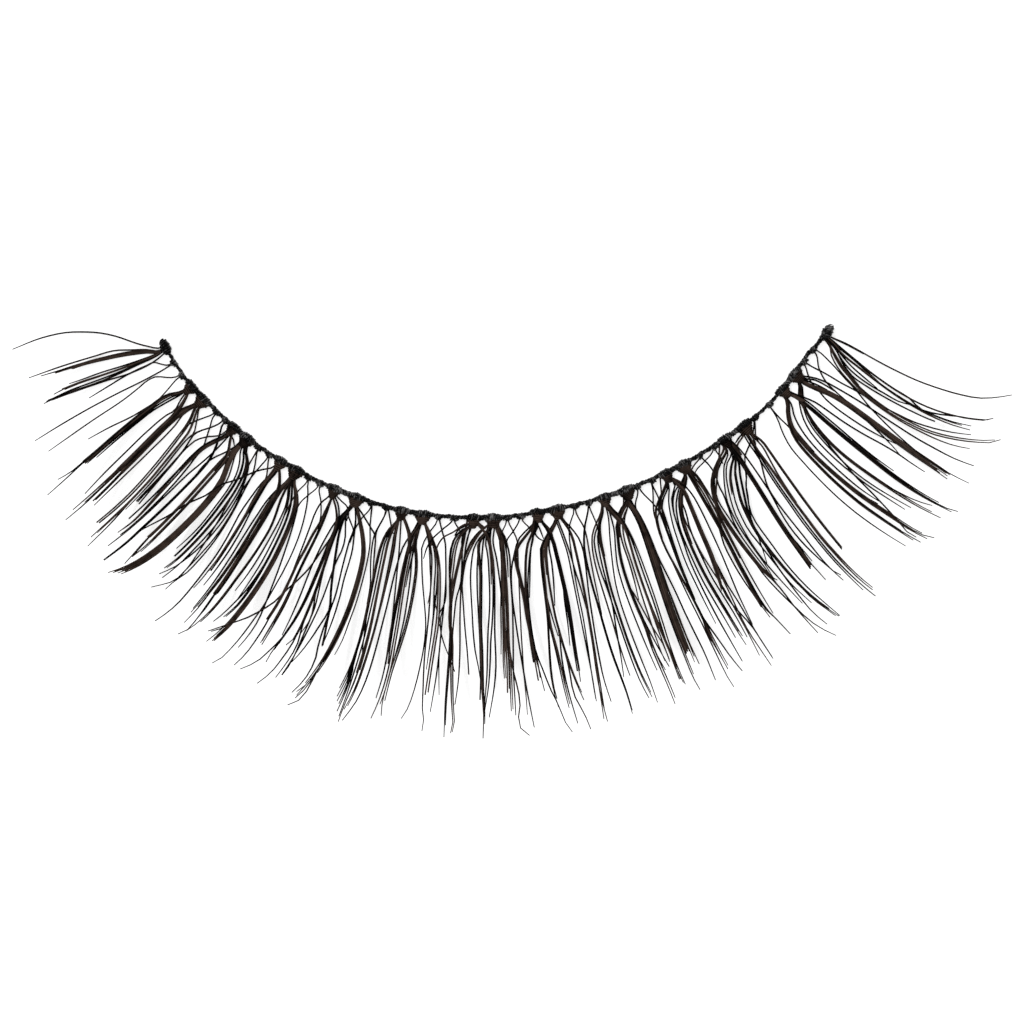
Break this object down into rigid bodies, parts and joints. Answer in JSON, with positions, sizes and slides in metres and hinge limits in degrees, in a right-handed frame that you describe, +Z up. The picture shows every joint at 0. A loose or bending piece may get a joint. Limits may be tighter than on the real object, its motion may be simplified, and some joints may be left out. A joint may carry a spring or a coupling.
{
  "type": "false eyelash strip",
  "caption": "Curved strip of false eyelashes: a fine black thread band with knotted clusters of dark curled lashes fanning out from it, lying band down.",
  "frame": {"origin": "on the surface that the strip lies on, under the middle of the band's middle cluster knot (lash_cluster_13)", "axes": "+X along the strip, from its short-lashed end to its long-lashed end; +Y to the eyelid side, so the lashes point to -Y; +Z up off the surface, the way the lashes curl"},
  "size_m": [0.0419, 0.0173, 0.0039],
  "materials": {
    "thread": "waxed black thread, tightly wound, with small bright glints",
    "hair": "brown-black fine fibres with a soft sheen, bundled at the knots"
  },
  "bodies": {
    "root": {"band_thread": "thread", "lash_cluster_01": "hair", "lash_cluster_02": "hair", "lash_cluster_03": "hair", "lash_cluster_04": "hair", "lash_cluster_05": "hair", "lash_cluster_06": "hair", "lash_cluster_07": "hair", "lash_cluster_08": "hair", "lash_cluster_09": "hair", "lash_cluster_10": "hair", "lash_cluster_11": "hair", "lash_cluster_12": "hair", "lash_cluster_13": "hair", "lash_cluster_14": "hair", "lash_cluster_15": "hair", "lash_cluster_16": "hair", "lash_cluster_17": "hair", "lash_cluster_18": "hair", "lash_cluster_19": "hair", "lash_cluster_20": "hair", "lash_cluster_21": "hair", "lash_cluster_22": "hair", "lash_cluster_23": "hair", "lash_cluster_24": "hair", "spacer_knot_01": "thread", "spacer_knot_02": "thread", "spacer_knot_03": "thread", "spacer_knot_04": "thread", "spacer_knot_05": "thread", "spacer_knot_06": "thread", "spacer_knot_07": "thread", "spacer_knot_08": "thread", "spacer_knot_09": "thread", "spacer_knot_10": "thread", "spacer_knot_11": "thread", "spacer_knot_12": "thread", "spacer_knot_13": "thread", "spacer_knot_14": "thread", "spacer_knot_15": "thread", "spacer_knot_16": "thread", "spacer_knot_17": "thread", "spacer_knot_18": "thread", "spacer_knot_19": "thread", "spacer_knot_20": "thread", "spacer_knot_21": "thread", "spacer_knot_22": "thread", "spacer_knot_23": "thread", "spacer_knot_24": "thread"}
  },
  "joints": []
}
